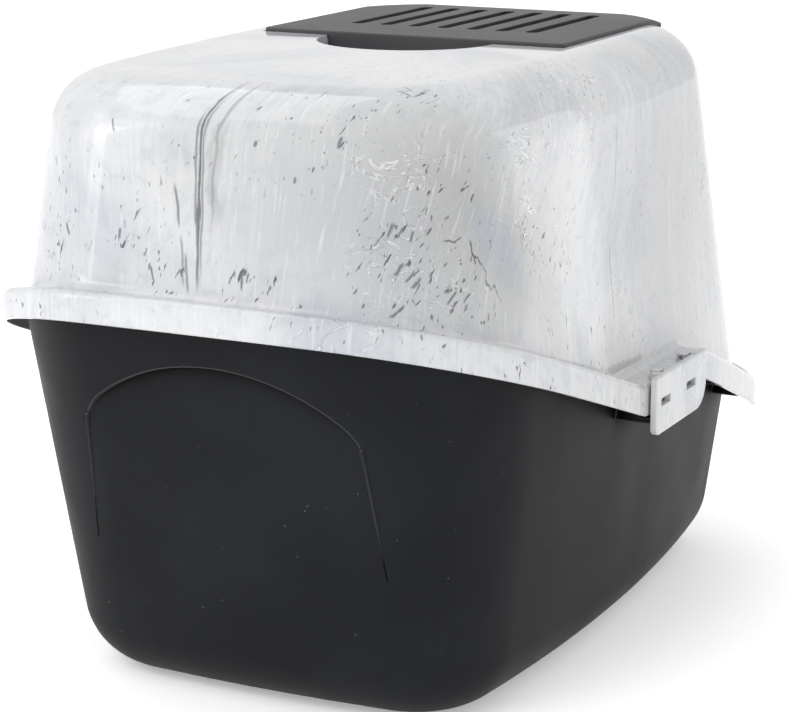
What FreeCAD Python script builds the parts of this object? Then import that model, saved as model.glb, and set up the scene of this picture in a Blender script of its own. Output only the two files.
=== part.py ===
"""Covered litter box: a deep tray, a hood held by two side clips, a lift-off vent cover and a swing door.

Millimetres. +Z is up, the origin is on the floor under the middle of the hood's skirt, the entrance faces -Y.
"""
import FreeCAD
import Part

import math
import os
import re

import Sketcher
from FreeCAD import Placement, Rotation, Vector

SIZES = {
    # Hood skirt, the widest outline of the object
    "flange_width": 390,
    "flange_rear": 278,
    "flange_front": 278,
    "flange_corner": 120,
    "flange_side_bow": 1500,
    "flange_end_bow": 1100,
    "skirt_height": 19.6,
    "skirt_wall": 3,
    "skirt_round": 4,
    "ledge_round": 6,
    # Parting line between tray and hood, seen from the side
    "parting_rear_height": 246.3,
    "parting_clip_height": 169.5,
    "parting_front_height": 112,
    "parting_clip_rear": 62,
    "parting_clip_front": 45,
    "parting_front_start": 200,
    "parting_bend": 20,
    # Tray
    "tray_wall": 3,
    "base_inset": 45.5,
    "base_rear": 210,
    "base_front": 255.5,
    "base_corner": 60,
    "base_round": 46,
    "tray_top_inset": 9.75,
    "tray_top_rear": 266,
    "tray_top_front": 282,
    "tray_top_rear_corner": 105,
    "tray_top_front_corner": 83,
    "tray_side_bow": 1440,
    "tray_end_bow": 1100,
    "rim_thickness": 3,
    "rim_clearance": 1.2,
    "seat_gap": 0.4,
    "gusset_drop": 11,
    "gusset_inset": 5,
    "gusset_wall": 3,
    "gusset_front": 165,
    "gusset_middle": 105,
    "gusset_rear": 130,
    "arch_apex_height": 222,
    "arch_shoulder_height": 160,
    "arch_foot_height": 98,
    "arch_foot_width": 202,
    "arch_leg_width": 191,
    "arch_crown": 135,
    "arch_shoulder": 36,
    "arch_depth": 7,
    # Hood
    "hood_wall": 3,
    "hood_height": 383,
    "hood_round": 40,
    "hood_base_inset": 12,
    "hood_base_rear": 278.6,
    "hood_base_front": 262.4,
    "hood_top_inset": 44.3,
    "hood_top_rear": 252.6,
    "hood_top_front": 229.8,
    "hood_rear_corner": 83,
    "hood_front_corner": 110,
    "hood_side_bow": 1500,
    "hood_end_bow": 1300,
    # Vent cover, its recess in the hood, and the filter well under it
    "cover_width": 215,
    "cover_rear": 4.5,
    "cover_front": 188,
    "cover_proud": 2.5,
    "cover_thickness": 3,
    "cover_skirt": 2.5,
    "cover_drop": 16,
    "cover_rear_corner": 4,
    "cover_front_corner": 9,
    "cover_edge_round": 1.2,
    "cover_clearance": 0.6,
    "cover_gap": 0.3,
    "recess_depth": 2.5,
    "lip_gap": 1,
    "lip_depth": 19,
    "slot_width": 9,
    "slot_length": 116,
    "slot_pitch": 21.2,
    "slot_middle": 111,
    "filter_width": 152,
    "filter_length": 126,
    "filter_thickness": 10,
    "filter_round": 2,
    "filter_clearance": 1,
    "well_wall": 2.2,
    "grid_slot": 12,
    "grid_pitch": 18,
    "notch_radius": 59.5,
    "notch_depth": 21,
    "notch_wall": 2.5,
    # Entrance bay and swing door
    "bay_width": 224,
    "bay_bottom": 138,
    "bay_top": 338,
    "bay_corner": 40,
    "bay_plane": 214,
    "door_width": 190,
    "door_bottom": 155,
    "door_axis_height": 316,
    "door_thickness": 3,
    "door_corner": 12,
    "door_gap": 2.5,
    "door_barrel_radius": 4,
    "door_pin_radius": 2.5,
    "door_lip_width": 60,
    "door_lip_height": 6,
    "door_lip_reach": 2,
    "collar_depth": 12,
    "collar_wall": 3,
    # Side clips and their hinges on the skirt
    "clip_rear": 59,
    "clip_front": 31,
    "clip_top": 193,
    "clip_bottom": 156.5,
    "clip_thickness": 4,
    "clip_gap": 0.5,
    "clip_front_corner": 17,
    "clip_rear_corner": 6,
    "clip_edge_round": 0.8,
    "clip_window_length": 16,
    "clip_window_height": 5,
    "clip_window_level": 176.5,
    "clip_window_rear": 43,
    "clip_window_front": 2,
    "clip_axis_inset": 4,
    "clip_axis_rise": 2.2,
    "clip_pin_radius": 1.5,
    "clip_pin_length": 6,
    "clip_lug_radius": 1.9,
    "clip_lug_length": 5,
    "clip_lug_end": 12,
    "knuckle_length": 8,
    "knuckle_width": 6,
    "knuckle_rise": 4.6,
    "nose_length": 16,
    "nose_height": 4,
    "nose_drop": 4.5,
    "nose_clearance": 0.35,
    "catch_edge_inset": 1,
    "catch_drop": 6.5,
    "catch_thickness": 3.5,
    "catch_rear": 54,
    "catch_front": 26,
    # Fits and cuts shared by all pieces
    "running_clearance": 0.05,
    "side_gap": 0.3,
    "overrun": 20,
}

SLOT_COUNT = 7
GRID_COUNT = 8
WORD = re.compile(r"[a-z_]{2,}")
LENGTHWAYS = Rotation(Vector(1, 1, 1), 120)
CROSSWAYS = Rotation(Vector(1, 0, 0), 90)
ALONG_X = Rotation(Vector(0, 1, 0), 90)
ALONG_Y = Rotation(Vector(1, 0, 0), -90)
UPRIGHT = Rotation()
NEAR = 1e-4

# Each outline: family of sizes, half width, rear corner, front corner, side bow, end bow
HALF = "flange_width / 2"
BASE_HALF = "flange_width / 2 - base_inset"
BASE = ("base", BASE_HALF, "base_corner", "base_corner", "tray_side_bow", "tray_end_bow")
TRAY_TOP = ("tray_top", f"{HALF} - tray_top_inset", "tray_top_rear_corner", "tray_top_front_corner",
            "tray_side_bow", "tray_end_bow")
HOOD_BASE = ("hood_base", f"{HALF} - hood_base_inset", "hood_rear_corner", "hood_front_corner",
             "hood_side_bow", "hood_end_bow")
HOOD_TOP = ("hood_top", f"{HALF} - hood_top_inset", "hood_rear_corner", "hood_front_corner",
            "hood_side_bow", "hood_end_bow")
FLANGE = ("flange", HALF, "flange_corner", "flange_corner", "flange_side_bow", "flange_end_bow")

TRAY_TOP_LEVEL = "parting_rear_height + skirt_height"
SEAT_FLOOR = "hood_height - recess_depth"
LEDGE_BOTTOM = "skirt_height - hood_wall"
RIM_TOP = "skirt_height - hood_wall - seat_gap"
RIM_BOTTOM = "skirt_height - hood_wall - seat_gap - rim_thickness"
CLIP_WINDOWS = (("rear", "clip_window_rear"), ("front", "-clip_window_front"))

doc = FreeCAD.newDocument("CoveredLitterBox")
sheet = doc.addObject("Spreadsheet::Sheet", "Sizes")


def fill_sheet():
    """Write every driving dimension into the sheet under its own alias."""
    for row, (alias, value) in enumerate(SIZES.items(), start=1):
        sheet.set(f"A{row}", alias)
        sheet.set(f"B{row}", str(value))
        sheet.setAlias(f"B{row}", alias)
    doc.recompute()


def amount(formula):
    """Value of a formula in the sheet's aliases; an empty formula is zero."""
    if not formula:
        return 0.0
    numbers = WORD.sub(lambda word: f"{float(sheet.get(word.group())):.6f}", formula)
    return FreeCAD.Units.parseQuantity(numbers).Value


def bind(item, prop, formula):
    """Bind a property to the sheet; an empty formula leaves it at zero."""
    if formula:
        item.setExpression(prop, WORD.sub(lambda word: "Sizes." + word.group(), formula))


def minus(formula):
    return f"-({formula})" if formula else ""


def place(item, x, y, z, turn=UPRIGHT):
    """Place an object by three formulas and a fixed turn."""
    item.Placement = Placement(Vector(amount(x), amount(y), amount(z)), turn)
    for axis, formula in zip("xyz", (x, y, z)):
        bind(item, f"Placement.Base.{axis}", formula)


def sized(item, **formulas):
    """Bind named properties of an object to formulas."""
    for prop, formula in formulas.items():
        setattr(item, prop, amount(formula))
        bind(item, prop, formula)
    return item


def box(name, length, width, height, x, y, z):
    """Block placed by its low corner."""
    item = sized(doc.addObject("Part::Box", name), Length=length, Width=width, Height=height)
    place(item, x, y, z)
    return item


def cylinder(name, radius, height, x, y, z, turn):
    """Round bar that starts at a point and runs along the turned axis."""
    item = sized(doc.addObject("Part::Cylinder", name), Radius=radius, Height=height)
    place(item, x, y, z, turn)
    return item


def fuse(name, items):
    item = doc.addObject("Part::MultiFuse", name)
    item.Shapes = items
    return item


def common(name, items):
    item = doc.addObject("Part::MultiCommon", name)
    item.Shapes = items
    return item


def cut(name, base, tool):
    item = doc.addObject("Part::Cut", name)
    item.Base = base
    item.Tool = tool
    return item


def mirrored(name, source):
    """Copy of an object on the other side of the middle plane."""
    item = doc.addObject("Part::Mirroring", name)
    item.Source = source
    item.Normal = Vector(1, 0, 0)
    return item


def extruded(name, sketch, forward, backward=""):
    """Solid swept from a sketch along its normal, forward and backward."""
    item = doc.addObject("Part::Extrusion", name)
    item.Base = sketch
    item.DirMode = "Normal"
    item.Solid = True
    return sized(item, LengthFwd=forward, LengthRev=backward)


def edges_where(shape, test):
    """Names of the edges whose bounding box passes a test."""
    return [f"Edge{number}" for number, edge in enumerate(shape.Edges, start=1) if test(edge.BoundBox)]


def rounded(body, test, radius):
    """Round the edges of a body's tip that pass a test."""
    doc.recompute()
    base = body.Tip
    item = body.newObject("PartDesign::Fillet", body.Name + "_round")
    item.Base = (base, edges_where(base.Shape, test))
    sized(item, Radius=radius)
    return item


def block(name, length, width, height, x, y, z):
    """Body holding a block placed by its low corner, ready for rounding."""
    body = doc.addObject("PartDesign::Body", name)
    item = body.newObject("PartDesign::AdditiveBox", name + "_block")
    sized(item, Length=length, Width=width, Height=height)
    place(item, x, y, z)
    doc.recompute()
    return body


def attached_sketch(body, name, role, level):
    """Sketch on one of the body's own planes, at a level above it."""
    sketch = body.newObject("Sketcher::SketchObject", name)
    plane = next(item for item in body.Origin.OriginFeatures if item.Role == role)
    sketch.AttachmentSupport = (plane, [""])
    sketch.MapMode = "FlatFace"
    bind(sketch, "AttachmentOffset.Base.z", level)
    return sketch


def free_sketch(name, turn, x="", y="", z=""):
    """Sketch that stands by itself at a place and turn."""
    sketch = doc.addObject("Sketcher::SketchObject", name)
    place(sketch, x, y, z, turn)
    return sketch


def datum(sketch, kind, references, formula):
    """Add a sketch dimension bound to the sheet."""
    index = sketch.addConstraint(Sketcher.Constraint(kind, *references, amount(formula)))
    bind(sketch, f"Constraints[{index}]", formula)


def pin_point(sketch, geometry, vertex, x, y):
    """Fix a sketch point at signed formulas from the sketch's origin."""
    for kind, axis, formula in (("DistanceX", -2, x), ("DistanceY", -1, y)):
        if not formula:
            sketch.addConstraint(Sketcher.Constraint("PointOnObject", geometry, vertex, axis))
        elif amount(formula) < 0:
            datum(sketch, kind, (geometry, vertex, -1, 1), minus(formula))
        else:
            datum(sketch, kind, (-1, 1, geometry, vertex), formula)


def polygon(sketch, points):
    """Closed polygon through points given as pairs of formulas."""
    places = [Vector(amount(x), amount(y), 0) for x, y in points]
    lines = [sketch.addGeometry(Part.LineSegment(first, second))
             for first, second in zip(places, places[1:] + places[:1])]
    for first, second in zip(lines, lines[1:] + lines[:1]):
        sketch.addConstraint(Sketcher.Constraint("Coincident", first, 2, second, 1))
    for line, (x, y) in zip(lines, points):
        pin_point(sketch, line, 1, x, y)


def bearing(centre, point):
    return math.atan2(point.y - centre.y, point.x - centre.x)


def flipped(point):
    return Vector(-point.x, point.y, 0)


def add_arc(sketch, centre, radius, start, stop):
    """Add an arc that runs anticlockwise from one bearing to another."""
    circle = Part.Circle(centre, Vector(0, 0, 1), radius)
    full_turn = 2 * math.pi
    return sketch.addGeometry(Part.ArcOfCircle(circle, start, start + (stop - start) % full_turn))


def corner_centre(first, first_reach, second, second_reach, towards):
    """Point at given distances from two centres, on the side that a direction names."""
    apart = second - first
    along = (first_reach ** 2 - second_reach ** 2 + apart.Length ** 2) / (2 * apart.Length)
    across = math.sqrt(first_reach ** 2 - along ** 2)
    unit = apart * (1 / apart.Length)
    foot = first + unit * along
    normal = Vector(-unit.y, unit.x, 0)
    return max((foot + normal * across, foot - normal * across), key=lambda point: point.dot(towards))


def outline(sketch, shape, inset=""):
    """Draw a box outline of four bowed sides and four corner arcs, all tangent, drawn in by an inset."""
    family, half, rear_corner, front_corner, side_bow, end_bow = shape
    less = f" - ({inset})" if inset else ""
    half_width = half + less
    rear, front = (f"{family}_{end}" + less for end in ("rear", "front"))
    side_bow, end_bow, rear_corner, front_corner = (
        text + less for text in (side_bow, end_bow, rear_corner, front_corner))
    side, end = amount(side_bow), amount(end_bow)
    rear_radius, front_radius = amount(rear_corner), amount(front_corner)
    right = Vector(amount(half_width) - side, 0, 0)
    top = Vector(0, amount(rear) - end, 0)
    bottom = Vector(0, end - amount(front), 0)
    upper = corner_centre(right, side - rear_radius, top, end - rear_radius, Vector(1, 1, 0))
    lower = corner_centre(right, side - front_radius, bottom, end - front_radius, Vector(1, -1, 0))
    up, over = bearing(right, upper), bearing(top, upper)
    down, under = bearing(right, lower), bearing(bottom, lower)
    half_turn = math.pi
    ring = [
        add_arc(sketch, right, side, down, up),
        add_arc(sketch, upper, rear_radius, up, over),
        add_arc(sketch, top, end, over, half_turn - over),
        add_arc(sketch, flipped(upper), rear_radius, half_turn - over, half_turn - up),
        add_arc(sketch, flipped(right), side, half_turn - up, half_turn - down),
        add_arc(sketch, flipped(lower), front_radius, half_turn - down, half_turn - under),
        add_arc(sketch, bottom, end, half_turn - under, under),
        add_arc(sketch, lower, front_radius, under, down),
    ]
    for first, second in zip(ring, ring[1:] + ring[:1]):
        sketch.addConstraint(Sketcher.Constraint("Tangent", first, 2, second, 1))
    radii = (side_bow, rear_corner, end_bow, rear_corner, side_bow, front_corner, end_bow, front_corner)
    for index, formula in zip(ring, radii):
        datum(sketch, "Radius", (index,), formula)
    pin_point(sketch, ring[0], 3, f"{half_width} - ({side_bow})", "")
    pin_point(sketch, ring[4], 3, f"{side_bow} - ({half_width})", "")
    pin_point(sketch, ring[2], 3, "", f"{rear} - ({end_bow})")
    pin_point(sketch, ring[6], 3, "", f"{end_bow} - ({front})")


def softened(name, base, test, radius):
    """Round the edges of a finished solid that pass a test; the radius comes from the sheet."""
    doc.recompute()
    item = doc.addObject("Part::Fillet", name)
    item.Base = base
    size = amount(radius)
    item.Edges = [(number, size, size) for number, edge in enumerate(base.Shape.Edges, start=1) if test(edge)]
    return item


def lofted(name, lower, lower_level, upper, upper_level, round_level, radius, inset=""):
    """Drafted solid between two outlines, with a large round along one of its ends."""
    low = free_sketch(name + "_lower", UPRIGHT, z=lower_level)
    outline(low, lower, inset)
    high = free_sketch(name + "_upper", UPRIGHT, z=upper_level)
    outline(high, upper, inset)
    loft = doc.addObject("Part::Loft", name + "_loft")
    loft.Sections = [low, high]
    loft.Solid = True
    loft.Ruled = True
    level = amount(round_level)

    def at_level(edge):
        return abs(edge.BoundBox.ZMin - level) < NEAR and abs(edge.BoundBox.ZMax - level) < NEAR

    return softened(name, loft, at_level, radius)


def prism(name, shape, low, high, inset=""):
    """Upright solid over an outline between two levels."""
    sketch = free_sketch(name + "_outline", UPRIGHT, z=low)
    outline(sketch, shape, inset)
    return extruded(name, sketch, f"{high} - ({low})")


def above_parting(name, lift):
    """Everything above the parting line, raised by a lift; the line steps down from rear to front."""
    body = doc.addObject("PartDesign::Body", name)
    sketch = attached_sketch(body, name + "_profile", "YZ_Plane", "-flange_width / 2 - overrun")
    rear_end, front_end = "flange_rear + overrun", "-flange_front - overrun"
    polygon(sketch, [
        (rear_end, "parting_rear_height"),
        (rear_end, "hood_height + overrun"),
        (front_end, "hood_height + overrun"),
        (front_end, "parting_front_height"),
        ("-parting_front_start", "parting_front_height"),
        ("-parting_clip_front", "parting_clip_height"),
        ("parting_clip_rear", "parting_clip_height"),
        ("flange_rear", "parting_rear_height"),
    ])
    pad = body.newObject("PartDesign::Pad", name + "_pad")
    pad.Profile = sketch
    sized(pad, Length="flange_width + 2 * overrun")
    bends = [amount("-parting_front_start"), amount("-parting_clip_front"), amount("parting_clip_rear")]
    rounded(body, lambda reach: reach.YLength < NEAR and any(abs(reach.YMin - y) < NEAR for y in bends),
            "parting_bend")
    place(body, "", "", lift)
    return body


def arch_sketch(name, grow=""):
    """Arch outline of the sunken panel: two leaning legs, two shoulders and a flat crown."""
    more = f" + {grow}" if grow else ""
    sketch = free_sketch(name, CROSSWAYS)
    crown, shoulder, apex = (text + more for text in ("arch_crown", "arch_shoulder", "arch_apex_height"))
    foot_x, leg_x = "arch_foot_width / 2" + more, "arch_leg_width / 2" + more
    foot = Vector(amount(foot_x), amount("arch_foot_height"), 0)
    knee = Vector(amount(leg_x), amount("arch_shoulder_height"), 0)
    top = Vector(0, amount(apex) - amount(crown), 0)
    lean = (knee - foot).normalize()
    outward = Vector(lean.y, -lean.x, 0)
    start = foot - outward * amount(shoulder) - top
    along = -start.dot(lean)
    reach = amount(crown) - amount(shoulder)
    along += math.sqrt(reach ** 2 - start.Length ** 2 + start.dot(lean) ** 2)
    bend = top + start + lean * along
    leg_end = foot + lean * along
    low, high = bearing(bend, leg_end), bearing(top, bend)
    half_turn = math.pi
    sill = sketch.addGeometry(Part.LineSegment(flipped(foot), foot))
    right_leg = sketch.addGeometry(Part.LineSegment(foot, leg_end))
    right_bend = add_arc(sketch, bend, amount(shoulder), low, high)
    arc = add_arc(sketch, top, amount(crown), high, half_turn - high)
    left_bend = add_arc(sketch, flipped(bend), amount(shoulder), half_turn - high, half_turn - low)
    left_leg = sketch.addGeometry(Part.LineSegment(flipped(leg_end), flipped(foot)))
    for first, second in ((sill, right_leg), (left_leg, sill)):
        sketch.addConstraint(Sketcher.Constraint("Coincident", first, 2, second, 1))
    ring = (right_leg, right_bend, arc, left_bend, left_leg)
    for first, second in zip(ring, ring[1:]):
        sketch.addConstraint(Sketcher.Constraint("Tangent", first, 2, second, 1))
    for index, formula in ((right_bend, shoulder), (arc, crown), (left_bend, shoulder)):
        datum(sketch, "Radius", (index,), formula)
    pin_point(sketch, arc, 3, "", f"{apex} - ({crown})")
    pin_point(sketch, right_leg, 1, foot_x, "arch_foot_height")
    pin_point(sketch, left_leg, 2, minus(foot_x), "arch_foot_height")
    for leg, knee_x in ((right_leg, leg_x), (left_leg, minus(leg_x))):
        mark = sketch.addGeometry(Part.Point(Vector(amount(knee_x), knee.y, 0)), True)
        pin_point(sketch, mark, 1, knee_x, "arch_shoulder_height")
        sketch.addConstraint(Sketcher.Constraint("PointOnObject", mark, 1, leg))
    return sketch


def behind_panel(name, wall=""):
    """Space behind the sunken panel's plane, flush with the wall at the foot and deepest at the apex."""
    less = f" - {wall}" if wall else ""
    rise = f"(tray_top_rear - base_rear) / ({TRAY_TOP_LEVEL})"
    foot = f"base_rear + {rise} * arch_foot_height{less}"
    apex = f"base_rear + {rise} * arch_apex_height - arch_depth{less}"
    top = f"{apex} + ({apex} - ({foot})) * overrun / (arch_apex_height - arch_foot_height)"
    sketch = free_sketch(name + "_profile", LENGTHWAYS)
    polygon(sketch, [
        (foot, "arch_foot_height"),
        ("flange_rear + overrun", "arch_foot_height"),
        ("flange_rear + overrun", "arch_apex_height + overrun"),
        (top, "arch_apex_height + overrun"),
    ])
    return extruded(name, sketch, "arch_foot_width", "arch_foot_width")


def catch_ledge():
    """Ledge on the right side that the clip's noses sit under, with webs up to the rim."""
    level = "parting_clip_height - catch_drop"
    length = "catch_rear + catch_front"
    ledge = box("catch_plate", "base_inset - catch_edge_inset", length, "catch_thickness",
                BASE_HALF, "-catch_front", level)
    webs = [
        box(f"catch_web_{number}", "base_inset - skirt_wall - rim_clearance - gusset_inset", "gusset_wall",
            f"{RIM_BOTTOM} + catch_drop + rim_thickness / 2", BASE_HALF, y, level)
        for number, y in enumerate(("-catch_front", "(catch_rear - catch_front - gusset_wall) / 2",
                                    "catch_rear - gusset_wall"), start=1)
    ]
    return [ledge] + webs


def gusset(name, y, space, over_rim):
    """Short web under the rim on the right side, kept inside a space that follows the skirt."""
    web = box(name + "_web", "base_inset", "gusset_wall", "hood_height", BASE_HALF, y, "")
    return cut(name, common(name + "_below", [web, space]), over_rim)


def make_tray():
    """Deep tray with a drafted wall, a rim under the hood's skirt and a sunken arch on the rear wall."""
    outer = lofted("tray_outer", BASE, "", TRAY_TOP, TRAY_TOP_LEVEL, "", "base_round")
    inner = lofted("tray_inner", BASE, "tray_wall", TRAY_TOP, TRAY_TOP_LEVEL, "tray_wall",
                   "base_round - tray_wall", "tray_wall")
    over_rim = above_parting("over_rim", RIM_TOP)
    rim_space = above_parting("rim_space", RIM_BOTTOM)
    under_rim = common("under_rim", [
        above_parting("gusset_space", f"{RIM_BOTTOM} - gusset_drop"),
        prism("gusset_prism", FLANGE, "parting_front_height", TRAY_TOP_LEVEL,
              "skirt_wall + rim_clearance + gusset_inset"),
    ])
    rim = common("rim", [rim_space, prism("rim_prism", FLANGE, "parting_front_height", TRAY_TOP_LEVEL,
                                          "skirt_wall + rim_clearance")])
    reach = "flange_rear + overrun"
    arch = extruded("arch_prism", arch_sketch("arch_outline"), "", reach)
    wide_arch = extruded("arch_wide_prism", arch_sketch("arch_wide_outline", "tray_wall"), "", reach)
    panel = common("arch_panel", [wide_arch, behind_panel("panel_inner_space", "tray_wall"), outer])
    recess = common("arch_recess", [arch, behind_panel("panel_outer_space")])
    right = catch_ledge()
    right += [gusset(f"gusset_{end}", y, under_rim, rim_space) for end, y in (
        ("front", "-gusset_front"), ("middle", "-gusset_middle"), ("rear", "gusset_rear"))]
    right_webs = fuse("right_webs", right)
    solid = fuse("tray_block", [outer, rim, right_webs, mirrored("left_webs", right_webs)])
    shell = cut("tray_shell", cut("tray_solid", solid, over_rim), inner)
    return cut("tray", fuse("tray_with_panel", [shell, panel]), recess)


def hood_solid(name, inset):
    """Drafted, round-topped solid of the hood, drawn in or out by an inset."""
    less = f" - ({inset})" if inset else ""
    top = "hood_height" + less
    return lofted(name, HOOD_BASE, "parting_front_height", HOOD_TOP, top, top, "hood_round" + less, inset)


def faces_up(face):
    """True for a face that looks more upward than sideways."""
    middle = face.Surface.parameter(face.CenterOfMass)
    return face.normalAt(*middle).z > math.sqrt(0.5)


def touches(edge, shape):
    """True for an edge whose middle lies on the skin of a solid."""
    middle = edge.valueAt((edge.FirstParameter + edge.LastParameter) / 2)
    return Part.Vertex(middle).distToShape(shape.Shells[0])[0] < NEAR


def make_flange(outer):
    """Hood wall standing on a wide skirt, solid inside, with a soft outer edge and a hollow inner corner."""
    skirt_top = above_parting("over_skirt", "skirt_height")
    slab = cut("flange_slab", common("flange_block", [
        prism("flange_prism", FLANGE, "parting_front_height", TRAY_TOP_LEVEL),
        above_parting("over_skirt_bottom", ""),
    ]), skirt_top)
    doc.recompute()
    top_edges = [edge.hashCode() for face in slab.Shape.Faces if faces_up(face) for edge in face.Edges]
    soft = softened("flange_soft", slab, lambda edge: top_edges.count(edge.hashCode()) == 1, "skirt_round")
    wall = common("hood_wall_block", [outer, above_parting("over_ledge_bottom", LEDGE_BOTTOM)])
    joined = fuse("hood_block", [soft, wall])
    doc.recompute()
    return softened("hood_flared", joined,
                    lambda edge: touches(edge, outer.Shape) and touches(edge, skirt_top.Shape), "ledge_round")


def make_knuckles():
    """Two blocks on the ledge of the right side that carry the clip's pins."""
    x = "flange_width / 2 - clip_axis_inset - knuckle_width / 2"
    z = "parting_clip_height + skirt_height - hood_wall / 2"
    height = "knuckle_rise + hood_wall / 2"
    rear = "clip_rear - clip_lug_end - clip_lug_length - side_gap - knuckle_length"
    front = "clip_lug_end + clip_lug_length + side_gap - clip_front"
    return fuse("right_knuckles", [box(f"knuckle_{end}", "knuckle_width", "knuckle_length", height, x, y, z)
                                   for end, y in (("rear", rear), ("front", front))])


def make_clip_bore():
    """Bore through the right side's knuckles along the clip's hinge axis."""
    return cylinder("clip_bore", "clip_pin_radius + running_clearance", "clip_rear + clip_front",
                    "flange_width / 2 - clip_axis_inset", "-clip_front",
                    "parting_clip_height + skirt_height + clip_axis_rise", ALONG_Y)


def make_seat(outer):
    """Floor and walls of the vent cover's seat, and the recess in it."""
    around = "cover_clearance + hood_wall"
    length = "cover_front - cover_rear"
    floor = box("seat_block", f"cover_width + 2 * ({around})", f"{length} + 2 * ({around})",
                "recess_depth + hood_wall", f"-cover_width / 2 - ({around})", f"-cover_front - ({around})",
                f"{SEAT_FLOOR} - hood_wall")
    recess = box("recess", "cover_width + 2 * cover_clearance", f"{length} + 2 * cover_clearance",
                 "recess_depth + overrun", "-cover_width / 2 - cover_clearance",
                 "-cover_front - cover_clearance", SEAT_FLOOR)
    return common("seat", [outer, floor]), [recess]


def make_well():
    """Filter well under the cover's seat, the space in it and the slots of its grid floor."""
    half_width, half_length = "filter_width / 2 + filter_clearance", "filter_length / 2 + filter_clearance"
    depth = "filter_thickness + 2 * side_gap"
    floor = f"{SEAT_FLOOR} - ({depth})"
    well = box("well_block", f"2 * ({half_width} + well_wall)", f"2 * ({half_length} + well_wall)",
               f"{depth} + well_wall", f"-({half_width}) - well_wall",
               f"-slot_middle - ({half_length}) - well_wall", f"{floor} - well_wall")
    space = box("well_space", f"2 * ({half_width})", f"2 * ({half_length})", f"{depth} + overrun",
                f"-({half_width})", f"-slot_middle - ({half_length})", floor)
    last = GRID_COUNT - 1
    grid = [box(f"grid_slot_{number}", "grid_slot", "filter_length - 2 * grid_slot", "well_wall + overrun",
                f"{number} * grid_pitch - {last} * grid_pitch / 2 - grid_slot / 2",
                "-slot_middle - filter_length / 2 + grid_slot", f"{floor} - well_wall - overrun / 2")
            for number in range(GRID_COUNT)]
    return well, [space] + grid


def notch_solid(name, depth, grow=""):
    """Half-round block behind the vent cover's rear edge, with a straight mouth for the cover's lip."""
    more = f" + {grow}" if grow else ""
    radius = "notch_radius" + more
    mouth = "cover_skirt + cover_clearance" + more
    floor = f"hood_height - ({depth})"
    round_end = cylinder(name + "_round", radius, f"{depth} + overrun", "", "-cover_rear", floor, UPRIGHT)
    half = box(name + "_half", f"2 * ({radius})", f"{radius} + {mouth}", f"{depth} + overrun",
               f"-({radius})", f"-cover_rear - ({mouth})", floor)
    straight = box(name + "_mouth", f"2 * ({radius})", mouth, f"{depth} + overrun", f"-({radius})",
                   f"-cover_rear - ({mouth})", floor)
    return fuse(name, [common(name + "_bowl", [round_end, half]), straight])


def make_notch(outer):
    """Half-round finger pocket behind the vent cover, and the liner round it."""
    liner = notch_solid("notch_liner_block", "notch_depth + notch_wall", "notch_wall")
    return common("notch_liner", [outer, liner]), [notch_solid("notch", "notch_depth")]


def bay_block(name, depth, grow=""):
    """Round-topped block of the entrance bay, from outside the hood to a depth behind its front."""
    more = f" + {grow}" if grow else ""
    less = f" - {grow}" if grow else ""
    body = block(name, "bay_width" + more + more, f"flange_front + overrun - ({depth})",
                 "bay_top - bay_bottom" + more + more, "-bay_width / 2" + less, "-flange_front - overrun",
                 "bay_bottom" + less)
    middle = amount("(bay_top + bay_bottom) / 2")
    rounded(body, lambda reach: reach.XLength < NEAR and reach.ZLength < NEAR and reach.ZMin > middle,
            "bay_corner" + more)
    return body


def make_entrance(outer):
    """Sunken bay at the front with a deep frame round the door opening, and the bores for the door's pins."""
    width = "door_width + 2 * door_gap"
    low = "door_bottom - door_gap"
    height = "door_axis_height + door_barrel_radius - door_bottom + 2 * door_gap"
    wall = common("bay_wall", [outer, bay_block("bay_wall_block", "bay_plane - hood_wall", "hood_wall")])
    collar = box("collar_block", f"{width} + 2 * collar_wall", "collar_depth", f"{height} + 2 * collar_wall",
                 f"-({width}) / 2 - collar_wall", "-bay_plane", f"{low} - collar_wall")
    opening = box("door_opening", width, "collar_depth + 2 * overrun", height, f"-({width}) / 2",
                  "-bay_plane - overrun", low)
    reach = f"{width} + 2 * collar_wall + 2 * side_gap"
    bore = cylinder("door_bore", "door_pin_radius + running_clearance", reach, f"-({reach}) / 2",
                    "collar_depth / 2 - bay_plane", "door_axis_height", ALONG_X)
    return [wall, collar], [bay_block("bay_space", "bay_plane"), opening, bore]


def make_hood(outer, inner):
    """Hood shell with its skirt, the vent seat and filter well, the entrance and the clip knuckles."""
    cavity = cut("skirt_cavity", prism("skirt_inner_prism", FLANGE, "parting_front_height - overrun",
                                       TRAY_TOP_LEVEL, "skirt_wall"),
                 above_parting("over_ledge", LEDGE_BOTTOM))
    core = cut("hood_core", cut("hood_skirted", make_flange(outer), cavity), inner)
    seat, recess = make_seat(outer)
    well, well_spaces = make_well()
    liner, notch = make_notch(outer)
    entrance, entrance_spaces = make_entrance(outer)
    knuckles = make_knuckles()
    bore = make_clip_bore()
    solid = fuse("hood_solid", [core, seat, well, liner] + entrance
                 + [knuckles, mirrored("left_knuckles", knuckles)])
    spaces = fuse("hood_spaces", recess + well_spaces + notch + entrance_spaces
                  + [bore, mirrored("left_clip_bore", bore)])
    return cut("hood_piece", solid, spaces)


def vent_slot(number):
    """Round-ended slot through the cover's top."""
    x = f"({number} - {(SLOT_COUNT - 1) // 2}) * slot_pitch"
    height = "recess_depth + overrun"
    straight = "slot_length - slot_width"
    middle = box(f"slot_{number}_middle", "slot_width", straight, height, f"{x} - slot_width / 2",
                 f"-slot_middle - ({straight}) / 2", SEAT_FLOOR)
    ends = [cylinder(f"slot_{number}_{end}", "slot_width / 2", height, x,
                     f"-slot_middle {sign} ({straight}) / 2", SEAT_FLOOR, UPRIGHT)
            for end, sign in (("front", "-"), ("rear", "+"))]
    return fuse(f"slot_{number}", [middle] + ends)


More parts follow.
